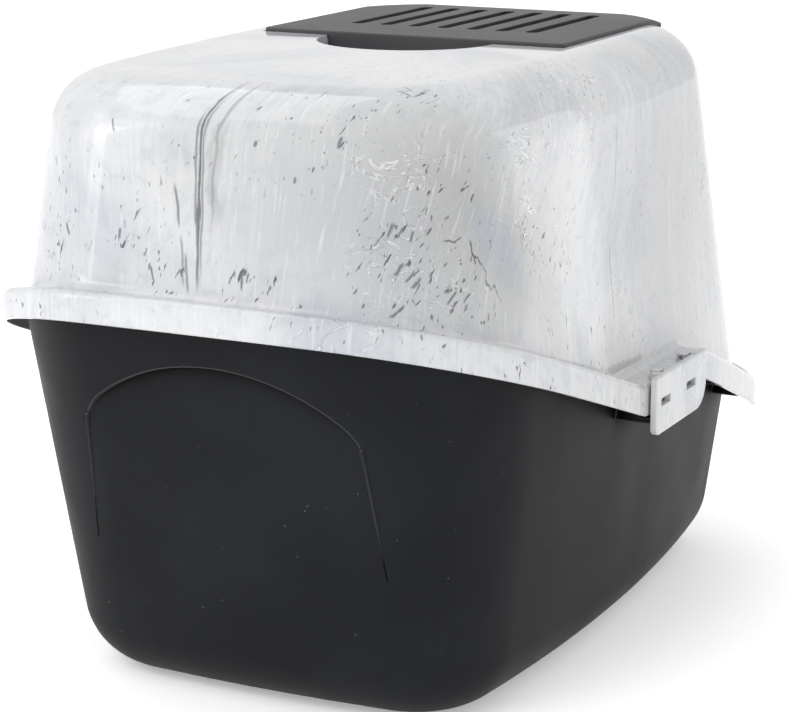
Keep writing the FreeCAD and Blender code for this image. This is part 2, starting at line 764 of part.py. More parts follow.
def make_cover():
    """Slotted vent cover: a top and skirt that follow the hood, and a deep finger lip at the rear."""
    low = "hood_height - cover_drop"
    height = "cover_drop + cover_proud"
    length = "cover_front - cover_rear"
    middle = amount("-(cover_front + cover_rear) / 2")
    top = amount("hood_height + cover_proud")
    body = block("cover_block", "cover_width", length, height, "-cover_width / 2", "-cover_front", low)
    rounded(body, lambda reach: reach.ZLength > NEAR and reach.YMin > middle, "cover_rear_corner")
    rounded(body, lambda reach: reach.ZLength > NEAR and reach.YMax < middle and reach.YLength < NEAR,
            "cover_front_corner")
    rounded(body, lambda reach: reach.ZMin > top - NEAR, "cover_edge_round")
    hollow = block("cover_hollow", "cover_width - 2 * cover_skirt", f"{length} - 2 * cover_skirt",
                   f"{height} - cover_thickness + overrun", "-cover_width / 2 + cover_skirt",
                   "-cover_front + cover_skirt", f"{low} - overrun")
    rounded(hollow, lambda reach: reach.ZLength > NEAR and reach.YMax < middle,
            "cover_front_corner - cover_skirt")
    below = box("below_cover", "flange_width", "flange_rear + flange_front", "hood_height",
                "-flange_width / 2", "-flange_front", "cover_gap - recess_depth")
    hood_space = common("cover_hood_space", [hood_solid("hood_grown", "-cover_gap"), below])
    skin = common("cover_draped", [body, hood_solid("cover_skin", "-cover_proud")])
    room = common("cover_room", [hollow, hood_solid("cover_inner_skin", "cover_thickness - cover_proud")])
    half_lip = "notch_radius - lip_gap"
    lip = box("cover_lip", f"2 * ({half_lip})", "cover_skirt",
              "lip_depth + cover_proud - cover_thickness / 2", f"-({half_lip})", "-cover_rear - cover_skirt",
              "hood_height - lip_depth")
    shell = cut("cover_shell", cut("cover_cup", skin, room), hood_space)
    slots = fuse("cover_slots", [vent_slot(number) for number in range(SLOT_COUNT)])
    return cut("cover_piece", fuse("cover_with_lip", [shell, lip]), slots)


def make_filter():
    """Odour filter pad that lies in the well under the cover."""
    body = block("filter_pad", "filter_width", "filter_length", "filter_thickness", "-filter_width / 2",
                 "-slot_middle - filter_length / 2", f"{SEAT_FLOOR} - side_gap - filter_thickness")
    rounded(body, lambda reach: True, "filter_round")
    return body


def make_door():
    """See-through flap with a hinge barrel along its top, a stub pin at each end and a push lip."""
    y = "collar_depth / 2 - bay_plane"
    panel = block("door_panel", "door_width", "door_thickness", "door_axis_height - door_bottom",
                  "-door_width / 2", f"{y} - door_thickness / 2", "door_bottom")
    low = amount("door_bottom + door_corner")
    rounded(panel, lambda reach: reach.XLength < NEAR and reach.ZLength < NEAR and reach.ZMin < low,
            "door_corner")
    barrel = cylinder("door_barrel", "door_barrel_radius", "door_width", "-door_width / 2", y,
                      "door_axis_height", ALONG_X)
    reach = "door_width + 2 * door_gap + 2 * collar_wall - 2 * side_gap"
    pins = cylinder("door_pins", "door_pin_radius", reach, f"-({reach}) / 2", y, "door_axis_height", ALONG_X)
    lip = box("door_lip", "door_lip_width", "door_thickness + 2 * door_lip_reach", "door_lip_height",
              "-door_lip_width / 2", f"{y} - door_thickness / 2 - door_lip_reach",
              "door_bottom + door_lip_height")
    return fuse("door_piece", [panel, barrel, pins, lip])


def make_clip_plate(inner):
    """Outer plate of the right-hand clip with its two windows."""
    plate = block("clip_plate", "clip_thickness", "clip_rear + clip_front", "clip_top - clip_bottom", inner,
                  "-clip_front", "clip_bottom")
    low = amount("clip_bottom")
    middle = amount("(clip_rear - clip_front) / 2")
    outer = amount(f"{inner} + clip_thickness")

    def lower_corner(reach):
        return reach.YLength < NEAR and reach.ZLength < NEAR and reach.ZMin < low + NEAR

    rounded(plate, lambda reach: lower_corner(reach) and reach.YMin < middle, "clip_front_corner")
    rounded(plate, lambda reach: lower_corner(reach) and reach.YMin > middle, "clip_rear_corner")
    rounded(plate, lambda reach: reach.XMin > outer - NEAR, "clip_edge_round")
    windows = [box(f"clip_window_{end}", "clip_thickness + 2 * overrun", "clip_window_length",
                   "clip_window_height", f"{inner} - overrun", f"{y} - clip_window_length / 2",
                   "clip_window_level - clip_window_height / 2")
               for end, y in CLIP_WINDOWS]
    return cut("clip_face", plate, fuse("clip_windows", windows))


def make_clip():
    """Right-hand clip: a plate hinged on the skirt's ledge, with two noses under the tray's catch ledge."""
    inner = "flange_width / 2 + clip_gap"
    axis_x = "flange_width / 2 - clip_axis_inset"
    axis_z = "parting_clip_height + skirt_height + clip_axis_rise"
    pieces = [make_clip_plate(inner)]
    for end, y in CLIP_WINDOWS:
        pieces.append(box(f"clip_nose_{end}",
                          "clip_gap + catch_edge_inset - nose_clearance + clip_thickness / 2", "nose_length",
                          "nose_height", "flange_width / 2 - catch_edge_inset + nose_clearance",
                          f"{y} - nose_length / 2", "parting_clip_height - catch_drop - nose_drop"))
    rear_lug = "clip_rear - clip_lug_end - clip_lug_length"
    front_lug = "clip_lug_end - clip_front"
    for end, start, pin_start in (("rear", rear_lug, f"{rear_lug} - clip_pin_length"),
                                  ("front", front_lug, front_lug)):
        pieces.append(cylinder(f"clip_lug_{end}", "clip_lug_radius", "clip_lug_length", axis_x, start, axis_z,
                               ALONG_Y))
        pieces.append(box(f"clip_arm_{end}", "clip_axis_inset + clip_gap + clip_thickness / 2",
                          "clip_lug_length", "clip_lug_radius * 2", axis_x, start,
                          f"{axis_z} - clip_lug_radius"))
        pieces.append(cylinder(f"clip_pin_{end}", "clip_pin_radius", "clip_pin_length + clip_lug_length",
                               axis_x, pin_start, axis_z, ALONG_Y))
    return fuse("clip_piece", pieces)


def finish(pieces):
    """Check every object and write each sub-part to its own file."""
    doc.recompute()
    for item in doc.Objects:
        if "Invalid" in item.State or "Error" in item.State:
            raise RuntimeError(f"{item.Name} failed: {item.State}")
    for label, item in pieces.items():
        item.Label = label
        if item.Shape.isNull() or not item.Shape.isValid():
            raise RuntimeError(f"{label} has no valid shape")
        print(label, len(item.Shape.Solids), "solids", round(item.Shape.Volume), item.Shape.BoundBox)
    os.makedirs("parts", exist_ok=True)
    for label, item in pieces.items():
        item.Shape.exportStep(f"parts/{label}.step")


fill_sheet()
right_clip = make_clip()
finish({
    "tray": make_tray(),
    "hood": make_hood(hood_solid("hood_outer", ""), hood_solid("hood_inner", "hood_wall")),
    "vent_cover": make_cover(),
    "carbon_filter": make_filter(),
    "swing_door": make_door(),
    "clip_right": right_clip,
    "clip_left": mirrored("left_clip_piece", right_clip),
})
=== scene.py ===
"""Looks of the covered litter box: its finishes, the felt filter pad, the studio and the camera."""
import logging
import math
from abc import ABC, abstractmethod
from dataclasses import dataclass, field
from enum import Enum
from typing import Any, Optional, Sequence, Union

import bpy
from mathutils import Euler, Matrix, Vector


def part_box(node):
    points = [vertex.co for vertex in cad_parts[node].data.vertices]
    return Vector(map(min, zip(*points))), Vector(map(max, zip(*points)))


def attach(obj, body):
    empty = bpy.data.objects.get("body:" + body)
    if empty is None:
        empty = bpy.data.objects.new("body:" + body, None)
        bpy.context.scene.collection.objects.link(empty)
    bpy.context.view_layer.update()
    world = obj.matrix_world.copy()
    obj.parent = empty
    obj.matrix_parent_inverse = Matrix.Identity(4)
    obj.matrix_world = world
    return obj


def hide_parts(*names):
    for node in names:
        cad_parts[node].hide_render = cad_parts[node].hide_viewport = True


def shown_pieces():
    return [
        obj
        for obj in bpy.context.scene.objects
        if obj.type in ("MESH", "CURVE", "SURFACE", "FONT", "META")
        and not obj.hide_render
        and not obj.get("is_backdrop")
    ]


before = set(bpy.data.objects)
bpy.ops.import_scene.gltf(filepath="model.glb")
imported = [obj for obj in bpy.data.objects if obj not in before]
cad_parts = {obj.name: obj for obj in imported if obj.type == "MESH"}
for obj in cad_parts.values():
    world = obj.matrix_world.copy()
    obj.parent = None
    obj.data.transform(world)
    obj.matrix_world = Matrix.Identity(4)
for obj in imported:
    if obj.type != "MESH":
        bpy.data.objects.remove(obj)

log = logging.getLogger("litter_box")

Socket = bpy.types.NodeSocket
Value = Union[float, Sequence[float], Socket]
Triple = tuple[float, float, float]

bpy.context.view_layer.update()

# Sampling of the shading nodes, the mean level of a noise, and the colour sockets of a mix node
CORNER_SAMPLES = 6
EDGE_SAMPLES = 4
NOISE_MEAN = 0.5
MIX_FACTOR, MIX_FIRST, MIX_SECOND, MIX_RESULT = 0, 6, 7, 2


class Slot(Enum):
    """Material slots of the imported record."""

    ANTHRACITE = "anthracite"
    MARBLE = "marble_white"
    VENT = "vent_grey"
    FELT = "filter_felt"
    CLEAR = "clear_smoke"


@dataclass(frozen=True)
class Ramp:
    """Smooth step: the levels where it starts and ends, and its results before and after."""

    low: float
    high: float
    before: float = 0.0
    after: float = 1.0

    def times(self, share: float) -> "Ramp":
        """Same step with its results scaled."""
        return Ramp(self.low, self.high, self.before * share, self.after * share)

    def plus(self, level: float) -> "Ramp":
        """Same step with its results raised."""
        return Ramp(self.low, self.high, self.before + level, self.after + level)


@dataclass(frozen=True)
class Speckle:
    """Even noise: features per unit, octaves and warp."""

    scale: float
    detail: float = 2.0
    warp: float = 0.0


@dataclass(frozen=True)
class Grain:
    """Noise drawn out along the plastic's flow: features per metre across and along, octaves and warp."""

    across: float
    along: float
    detail: float = 2.0
    warp: float = 0.0


@dataclass(frozen=True)
class Relief:
    """Raised pattern: share of the effect, height of a full step and radius of the corners in metres."""

    strength: float
    height: float
    edge: float


def opaque(colour: Triple) -> tuple[float, float, float, float]:
    """Colour with a full alpha."""
    return (*colour, 1.0)


class NodeSheet:
    """Node tree of one material, with short calls for the nodes that the finishes use."""

    def __init__(self, name: str) -> None:
        """Start a material.

        Args:
            name: Name of the new material.
        """
        self.material = bpy.data.materials.new(name)
        self.material.use_nodes = True
        self.tree = self.material.node_tree
        self.shader = self.tree.nodes["Principled BSDF"]

    def put(self, socket: Socket, value: Value) -> None:
        """Link a socket to another, or set its value.

        Args:
            socket: Input to fill.
            value: Output socket, number or tuple.
        """
        if isinstance(value, bpy.types.NodeSocket):
            self.tree.links.new(value, socket)
        else:
            socket.default_value = value

    def finish(self, **inputs: Value) -> None:
        """Fill the shader's inputs.

        Args:
            inputs: Values by input name, with _ for each space.
        """
        for name, value in inputs.items():
            self.put(self.shader.inputs[name.replace("_", " ")], value)

    def node(self, kind: str, inputs: dict[Any, Value], **settings: Any) -> bpy.types.Node:
        """Add a node.

        Args:
            kind: Node type.
            inputs: Values by input name or number.
            settings: Properties of the node itself.

        Returns:
            The new node.
        """
        node = self.tree.nodes.new(kind)
        for key, value in settings.items():
            setattr(node, key, value)
        for key, value in inputs.items():
            self.put(node.inputs[key], value)
        return node

    def place(self) -> Socket:
        """Object coordinates, which are the frame's own in metres."""
        return self.node("ShaderNodeTexCoord", {}).outputs["Object"]

    def split(self, vector: Socket) -> tuple[Socket, Socket, Socket]:
        """X, Y and Z of a vector."""
        node = self.node("ShaderNodeSeparateXYZ", {0: vector})
        return node.outputs[0], node.outputs[1], node.outputs[2]

    def join(self, x: Value, y: Value, z: Value) -> Socket:
        """Vector of three values."""
        return self.node("ShaderNodeCombineXYZ", {0: x, 1: y, 2: z}).outputs[0]

    def math(self, operation: str, *values: Value) -> Socket:
        """Result of one math operation."""
        return self.node("ShaderNodeMath", dict(enumerate(values)), operation=operation).outputs[0]

    def stretch(self, vector: Socket, scale: Triple) -> Socket:
        """Vector scaled along each axis."""
        return self.node("ShaderNodeVectorMath", {0: vector, 1: scale}, operation="MULTIPLY").outputs[0]

    def noise(self, vector: Socket, kind: Speckle) -> Socket:
        """Fractal noise between 0 and 1, read at a place."""
        inputs = {"Vector": vector, "Scale": kind.scale, "Detail": kind.detail, "Distortion": kind.warp}
        return self.node("ShaderNodeTexNoise", inputs).outputs[0]

    def step(self, value: Socket, ramp: Ramp) -> Socket:
        """Smooth step of a value."""
        inputs = dict(enumerate((value, ramp.low, ramp.high, ramp.before, ramp.after)))
        return self.node("ShaderNodeMapRange", inputs, interpolation_type="SMOOTHSTEP").outputs[0]

    def mix(self, factor: Socket, first: Any, second: Any) -> Socket:
        """Blend of two colours by a factor."""
        inputs = {MIX_FACTOR: factor, MIX_FIRST: first, MIX_SECOND: second}
        return self.node("ShaderNodeMix", inputs, data_type="RGBA").outputs[MIX_RESULT]

    def corners(self, radius: float) -> Socket:
        """How far the surface turns within a radius, from 0 on a flat face.

        Args:
            radius: Width of the band along a corner in metres.

        Returns:
            One minus the cosine of the turn.
        """
        soft = self.node("ShaderNodeBevel", {"Radius": radius}, samples=CORNER_SAMPLES).outputs[0]
        flat = self.node("ShaderNodeNewGeometry", {}).outputs["Normal"]
        cosine = self.node("ShaderNodeVectorMath", {0: soft, 1: flat}, operation="DOT_PRODUCT").outputs["Value"]
        return self.math("SUBTRACT", 1.0, cosine)

    def creases(self, reach: float) -> Socket:
        """How open the surface is: 1 on a free face, less in a crease or slot of the piece within a reach."""
        settings = {"samples": CORNER_SAMPLES, "only_local": True}
        return self.node("ShaderNodeAmbientOcclusion", {"Distance": reach}, **settings).outputs["AO"]

    def bump(self, pattern: Socket, relief: Relief) -> None:
        """Raise the surface's shading by a pattern, and round off how its corners catch the light.

        Args:
            pattern: What is high and low.
            relief: How high it is.
        """
        soft = self.node("ShaderNodeBevel", {"Radius": relief.edge}, samples=EDGE_SAMPLES).outputs[0]
        inputs = {"Strength": relief.strength, "Distance": relief.height, "Height": pattern, "Normal": soft}
        self.finish(Normal=self.node("ShaderNodeBump", inputs).outputs[0])


class Finish(ABC):
    """Surface finish that can make its material."""

    @abstractmethod
    def material(self) -> bpy.types.Material:
        """Make the material."""


@dataclass(frozen=True)
class Vein:
    """One dark line of pigment in the marbled plastic, between two places in the flow.

    A place is a bearing in degrees from the rear middle and a run down the flow in metres.
    """

    start: tuple[float, float]
    stop: tuple[float, float]
    width: float
    depth: float
    jag: float = 1.0


@dataclass(frozen=True)
class Spot:
    """One soft-edged area of the marbled plastic, round a place in the flow."""

    place: tuple[float, float]
    reach: float
    depth: float


@dataclass(frozen=True)
class Patch(Spot):
    """A spot with a tint of its own."""

    colour: Triple


@dataclass(frozen=True)
class Flow:
    """Places in the flow of one material: bearing in radians, run in metres, the seamless vector of both, and how far
    the flow has settled after the gate, from 0 to 1."""

    bearing: Socket
    run: Socket
    vector: Socket
    settled: Socket


@dataclass(frozen=True)
class MarblePlastic(Finish):
    """Glossy white plastic with grey pigment drawn out along the flow of the mould."""

    name: str = "marble_white_plastic"
    white: Triple = (0.585, 0.59, 0.60)
    bright: Triple = (0.80, 0.805, 0.815)
    cloud: Triple = (0.39, 0.405, 0.445)
    warm: Triple = (0.47, 0.465, 0.445)
    # Colour of the painted shade beside the white swirled lines
    painted_swirl_shade: Triple = (0.15, 0.154, 0.16)
    pigment: Triple = (0.07, 0.075, 0.085)
    roughness: Ramp = Ramp(0.3, 0.7, 0.055, 0.095)
    relief: Relief = Relief(0.02, 0.0002, 0.0012)
    # Course of the flow, from the gate in the top down the walls
    gate: tuple[float, float] = (0.0, -0.02)
    turn_radius: float = 0.2
    weld_bearing: float = math.radians(0.5)
    lean: float = 0.035
    wall: Ramp = Ramp(0.25, 0.37)
    drift: Ramp = Ramp(-0.085, -0.15, 0.0, math.radians(2.6))
    settling: Ramp = Ramp(0.05, 0.19)
    # Clouds of tint
    billows: Grain = Grain(14.0, 8.0, 3.0, 0.6)
    billow_tint: Ramp = Ramp(0.42, 0.74, 0.0, 0.8)
    warmth: Grain = Grain(9.0, 6.0, 2.0, 0.3)
    warmth_tint: Ramp = Ramp(0.5, 0.8, 0.0, 0.6)
    spot_ragged: float = 1.6
    spot_spread: float = 1.25
    patches: tuple[Patch, ...] = (
        # Warm-grey patch at the rear corner: partly grey marbling, partly painted shade
        Patch((-25.0, -0.045), 0.085, 0.8, (0.33, 0.33, 0.315)),
        Patch((-24.0, 0.005), 0.045, 0.5, (0.36, 0.365, 0.375)),
        Patch((-32.5, -0.045), 0.018, 0.55, (0.30, 0.34, 0.42)),
        Patch((-36.0, -0.030), 0.016, 0.45, (0.33, 0.36, 0.42)),
        Patch((-13.0, -0.030), 0.050, 0.45, (0.40, 0.41, 0.45)),
        Patch((20.0, -0.010), 0.040, 0.4, (0.40, 0.42, 0.47)),
        Patch((-62.0, 0.010), 0.060, 0.35, (0.44, 0.44, 0.44)),
        Patch((-105.0, -0.110), 0.140, 0.7, (0.42, 0.42, 0.415)),
    )
    # Streaks along the flow
    calm: Grain = Grain(11.0, 9.0)
    calm_share: Ramp = Ramp(0.36, 0.64, 0.15, 1.0)
    bands: Grain = Grain(130.0, 8.0, 4.0)
    dark_bands: Ramp = Ramp(0.52, 0.76, 0.0, 0.32)
    pale_bands: Ramp = Ramp(0.46, 0.28, 0.0, 0.22)
    mottle: Grain = Grain(170.0, 110.0, 4.0, 0.5)
    mottle_tint: Ramp = Ramp(0.48, 0.72, 0.0, 0.36)
    hairs: Grain = Grain(820.0, 34.0, 3.0)
    dark_hairs: Ramp = Ramp(0.5, 0.74, 0.0, 0.40)
    pale_hairs: Ramp = Ramp(0.44, 0.26, 0.0, 0.26)
    # White swirled lines, each with a dark one beside it, which is painted shade that makes the line look raised
    swirl: Grain = Grain(46.0, 38.0, 6.0, 1.4)
    ridge_level: float = 0.5
    ridge_line: Ramp = Ramp(0.002, 0.008, 1.0, 0.0)
    # Level and width of the painted shade beside each white line
    swirl_shade_level: float = 0.516
    swirl_shade_line: Ramp = Ramp(0.002, 0.010, 0.7, 0.0)
    stray: Grain = Grain(12.0, 12.0, 1.0)
    stray_share: Ramp = Ramp(0.56, 0.68, 0.0, 0.4)
    laces: tuple[Spot, ...] = (
        Spot((-47.0, -0.210), 0.066, 1.0),
        Spot((-40.5, -0.074), 0.036, 0.7),
        Spot((-25.0, 0.004), 0.040, 0.6),
        Spot((-20.0, -0.062), 0.030, 0.5),
        Spot((-68.0, -0.095), 0.030, 0.4),
    )
    # Dark flecks, denser in crowds
    fleck: float = 0.9
    slant: float = 0.24
    strokes: Grain = Grain(560.0, 90.0, 3.0, 0.3)
    stroke_ramp: Ramp = Ramp(0.665, 0.735)
    dashes: Grain = Grain(560.0, 130.0, 1.0)
    dash_ramp: Ramp = Ramp(0.69, 0.75, 0.0, 0.8)
    gathering: Grain = Grain(16.0, 13.0)
    gathering_share: Ramp = Ramp(0.40, 0.60)
    crowd_least: float = 0.02
    crowds: tuple[Spot, ...] = (
        Spot((-18.3, -0.126), 0.018, 0.08),
        Spot((-14.0, -0.076), 0.010, 0.06),
        Spot((-22.0, -0.022), 0.026, 0.075),
        Spot((-23.5, 0.004), 0.028, 0.085),
        Spot((-22.8, 0.027), 0.016, 0.08),
        Spot((-29.5, 0.010), 0.022, 0.08),
        Spot((-24.3, -0.055), 0.020, 0.05),
        Spot((-42.0, -0.070), 0.024, 0.05),
        Spot((-5.7, 0.009), 0.016, 0.075),
        Spot((5.5, 0.004), 0.020, 0.07),
        Spot((18.0, -0.005), 0.020, 0.07),
        Spot((10.5, -0.012), 0.016, 0.06),
        Spot((-125.3, -0.090), 0.022, 0.09),
    )
    # Single dark lines: the weld line down the rear, then cracks, then short strokes
    wander: Grain = Grain(260.0, 45.0, 3.0)
    wander_widths: float = 3.0
    vein_core: float = 0.15
    vein_fade: float = 0.25
    veins: tuple[Vein, ...] = (
        Vein((0.85, -0.150), (0.35, 0.022), 0.0011, 0.85),
        Vein((0.35, -0.130), (0.05, 0.022), 0.0007, 0.60),
        Vein((1.25, -0.110), (0.90, -0.020), 0.0008, 0.60),
        Vein((0.70, -0.050), (0.45, 0.020), 0.0016, 0.75),
        Vein((-1.45, -0.155), (-0.90, -0.010), 0.0013, 0.45),
        Vein((-1.10, -0.150), (-1.30, -0.050), 0.0006, 0.40),
        Vein((-1.30, -0.100), (-0.90, -0.020), 0.0050, 0.22),
        Vein((3.60, -0.052), (2.80, -0.020), 0.0010, 0.70),
        Vein((2.70, -0.022), (2.20, 0.018), 0.0009, 0.55),
        Vein((2.20, -0.010), (1.60, 0.020), 0.0010, 0.60),
        Vein((-63.5, -0.182), (-64.5, -0.136), 0.0006, 0.65, 0.4),
        Vein((-65.8, -0.102), (-66.8, -0.034), 0.0006, 0.60, 0.6),
        Vein((-26.6, -0.022), (-29.0, -0.031), 0.0008, 0.80, 2.5),
        Vein((-29.0, -0.031), (-32.2, -0.016), 0.0011, 0.90, 3.5),
        Vein((-31.0, -0.021), (-36.5, -0.003), 0.0012, 0.70, 6.0),
        Vein((-14.21, -0.081), (-13.95, -0.070), 0.0010, 0.75, 1.4),
        Vein((-20.92, -0.029), (-20.71, -0.017), 0.0010, 0.75, 1.4),
        Vein((-21.94, -0.027), (-21.73, -0.018), 0.0008, 0.75, 1.4),
        Vein((-23.08, -0.026), (-22.95, -0.017), 0.0008, 0.75, 1.4),
        Vein((-22.95, -0.005), (-22.30, 0.006), 0.0011, 0.75, 1.4),
        Vein((-24.39, -0.002), (-23.62, 0.009), 0.0011, 0.75, 1.4),
        Vein((-25.13, 0.002), (-24.48, 0.012), 0.0008, 0.75, 1.4),
        Vein((-23.70, 0.023), (-22.36, 0.032), 0.0011, 0.75, 1.4),
        Vein((-5.24, 0.000), (-5.05, 0.014), 0.0008, 0.75, 1.4),
        Vein((-6.12, 0.001), (-5.74, 0.009), 0.0008, 0.75, 1.4),
        Vein((-126.13, -0.097), (-123.77, -0.086), 0.0009, 0.75, 1.4),
        Vein((-132.62, -0.076), (-127.21, -0.078), 0.0007, 0.75, 1.4),
        Vein((-16.68, -0.133), (-19.16, -0.123), 0.0007, 0.75, 1.4),
        Vein((-17.08, -0.141), (-18.56, -0.132), 0.0006, 0.75, 1.4),
        Vein((18.17, -0.010), (17.79, 0.000), 0.0009, 0.75, 1.4),
        Vein((10.49, -0.016), (10.73, -0.007), 0.0008, 0.75, 1.4),
        Vein((11.19, -0.085), (10.55, -0.073), 0.0007, 0.75, 1.4),
        Vein((6.71, 0.002), (6.19, 0.015), 0.0008, 0.75, 1.4),
        Vein((-29.82, 0.004), (-28.58, 0.017), 0.0009, 0.75, 1.4),
        Vein((-31.25, 0.002), (-30.46, 0.012), 0.0008, 0.75, 1.4),
    )

    def flow(self, sheet: NodeSheet) -> Flow:
        """Coordinates along and across the plastic's flow.

        Args:
            sheet: Material's nodes.

        Returns:
            Places in the flow.
        """
        x, y, z = sheet.split(sheet.place())
        across = sheet.math("SUBTRACT", x, self.gate[0])
        back = sheet.math("SUBTRACT", y, self.gate[1])
        squares = (sheet.math("MULTIPLY", across, across), sheet.math("MULTIPLY", back, back))
        reach = sheet.math("SQRT", sheet.math("ADD", *squares))
        run = sheet.math("SUBTRACT", reach, z)
        bearing = sheet.math("ARCTAN2", across, back)
        off_weld = sheet.math("SINE", sheet.math("SUBTRACT", bearing, self.weld_bearing))
        on_wall = sheet.math("MULTIPLY", off_weld, sheet.step(z, self.wall))
        bearing = sheet.math("SUBTRACT", bearing, sheet.math("MULTIPLY", on_wall, self.lean / self.turn_radius))
        bearing = sheet.math("ADD", bearing, sheet.step(run, self.drift))
        side = sheet.math("MULTIPLY", sheet.math("SINE", bearing), self.turn_radius)
        rear = sheet.math("MULTIPLY", sheet.math("COSINE", bearing), self.turn_radius)
        return Flow(bearing, run, sheet.join(side, rear, run), sheet.step(reach, self.settling))

    def drawn(self, sheet: NodeSheet, vector: Socket, grain: Grain) -> Socket:
        """Noise drawn out along the flow."""
        scaled = sheet.stretch(vector, (grain.across, grain.across, grain.along))
        return sheet.noise(scaled, Speckle(1.0, grain.detail, grain.warp))

    def vein(self, sheet: NodeSheet, flow: Flow, line: Vein, wander: Socket) -> Socket:
        """Mask of one dark line.

        Args:
            sheet: Material's nodes.
            flow: Places in the flow.
            line: The line.
            wander: Noise that makes the line's path uneven.

        Returns:
            Mask between 0 and the line's depth.
        """
        path = Vector((math.radians(line.stop[0] - line.start[0]) * self.turn_radius, line.stop[1] - line.start[1]))
        way = path.normalized()
        turned = sheet.math("SUBTRACT", flow.bearing, math.radians(line.start[0]))
        aside = sheet.math("MULTIPLY", turned, self.turn_radius)
        down = sheet.math("SUBTRACT", flow.run, line.start[1])
        along = sheet.math("MULTIPLY_ADD", aside, way.x, sheet.math("MULTIPLY", down, way.y))
        off = sheet.math("MULTIPLY_ADD", aside, way.y, sheet.math("MULTIPLY", down, -way.x))
        sway = line.width * self.wander_widths * line.jag
        off = sheet.math("MULTIPLY_ADD", sheet.math("SUBTRACT", wander, NOISE_MEAN), sway, off)
        near = sheet.step(sheet.math("ABSOLUTE", off), Ramp(line.width * self.vein_core, line.width, line.depth, 0.0))
        fade = path.length * self.vein_fade
        begun = sheet.step(along, Ramp(0.0, fade))
        ended = sheet.step(along, Ramp(path.length - fade, path.length, 1.0, 0.0))
        return sheet.math("MULTIPLY", near, sheet.math("MULTIPLY", begun, ended))

    def spot(self, sheet: NodeSheet, flow: Flow, spot: Spot, clouds: Socket) -> Socket:
        """Mask of one soft-edged area.

        Args:
            sheet: Material's nodes.
            flow: Places in the flow.
            spot: The area.
            clouds: Noise that breaks up the area's edge.

        Returns:
            Mask between 0 and the area's depth.
        """
        turned = sheet.math("SUBTRACT", flow.bearing, math.radians(spot.place[0]))
        aside = sheet.math("MULTIPLY", turned, self.turn_radius)
        down = sheet.math("SUBTRACT", flow.run, spot.place[1])
        inputs = {0: sheet.join(aside, down, 0.0)}
        away = sheet.node("ShaderNodeVectorMath", inputs, operation="LENGTH").outputs["Value"]
        ragged = sheet.math("SUBTRACT", clouds, NOISE_MEAN)
        away = sheet.math("MULTIPLY_ADD", ragged, spot.reach * self.spot_ragged, away)
        return sheet.step(away, Ramp(0.0, spot.reach * self.spot_spread, spot.depth, 0.0))

    def deepest(self, sheet: NodeSheet, flow: Flow, spots: Sequence[Spot], clouds: Socket) -> Value:
        """Deepest of several areas at each point.

        Args:
            sheet: Material's nodes.
            flow: Places in the flow.
            spots: The areas.
            clouds: Noise that breaks up the areas' edges.

        Returns:
            Mask of all the areas together.
        """
        mask: Value = 0.0
        for spot in spots:
            mask = sheet.math("MAXIMUM", mask, self.spot(sheet, flow, spot, clouds))
        return mask

    def tint(self, sheet: NodeSheet, flow: Flow, billow: Socket) -> Socket:
        """Ground colour with its soft clouds.

        Args:
            sheet: Material's nodes.
            flow: Places in the flow.
            billow: Large cloud noise.

        Returns:
            The colour.
        """
        tone = sheet.mix(sheet.step(billow, self.billow_tint), opaque(self.white), opaque(self.cloud))
        warmth = sheet.step(self.drawn(sheet, flow.vector, self.warmth), self.warmth_tint)
        tone = sheet.mix(warmth, tone, opaque(self.warm))
        # The patch at the rear corner is partly painted shade
        for spot in self.patches:
            tone = sheet.mix(self.spot(sheet, flow, spot, billow), tone, opaque(spot.colour))
        return tone

    def streak(self, sheet: NodeSheet, flow: Flow, hair: Socket, tone: Socket) -> Socket:
        """Draw bands, mottling and hairs over a colour.

        Args:
            sheet: Material's nodes.
            flow: Places in the flow.
            hair: Finest noise along the flow.
            tone: Colour so far.

        Returns:
            The streaked colour.
        """
        calm = sheet.step(self.drawn(sheet, flow.vector, self.calm), self.calm_share)
        calm = sheet.math("MULTIPLY", calm, flow.settled)
        bands = self.drawn(sheet, flow.vector, self.bands)
        mottle = sheet.step(self.drawn(sheet, flow.vector, self.mottle), self.mottle_tint)
        layers = (
            (sheet.math("MULTIPLY", calm, sheet.step(bands, self.dark_bands)), self.cloud),
            (sheet.math("MULTIPLY", calm, sheet.step(bands, self.pale_bands)), self.bright),
            (mottle, self.cloud),
            (sheet.math("MULTIPLY", calm, sheet.step(hair, self.dark_hairs)), self.cloud),
            (sheet.math("MULTIPLY", flow.settled, sheet.step(hair, self.pale_hairs)), self.bright),
        )
        for mask, colour in layers:
            tone = sheet.mix(mask, tone, opaque(colour))
        return tone

    def lace(self, sheet: NodeSheet, flow: Flow, billow: Socket, tone: Socket) -> Socket:
        """Draw the swirled lines over a colour, each white line with painted shade beside it.

        Args:
            sheet: Material's nodes.
            flow: Places in the flow.
            billow: Large cloud noise.
            tone: Colour so far.

        Returns:
            The laced colour.
        """
        swirl = self.drawn(sheet, flow.vector, self.swirl)
        stray = sheet.step(self.drawn(sheet, flow.vector, self.stray), self.stray_share)
        laced = sheet.math("MAXIMUM", stray, self.deepest(sheet, flow, self.laces, billow))
        lines = (
            # Painted shade beside the white line
            (self.swirl_shade_level, self.swirl_shade_line, self.painted_swirl_shade),
            (self.ridge_level, self.ridge_line, self.bright),
        )
        for level, ramp, colour in lines:
            away = sheet.math("ABSOLUTE", sheet.math("SUBTRACT", swirl, level))
            tone = sheet.mix(sheet.math("MULTIPLY", sheet.step(away, ramp), laced), tone, opaque(colour))
        return tone

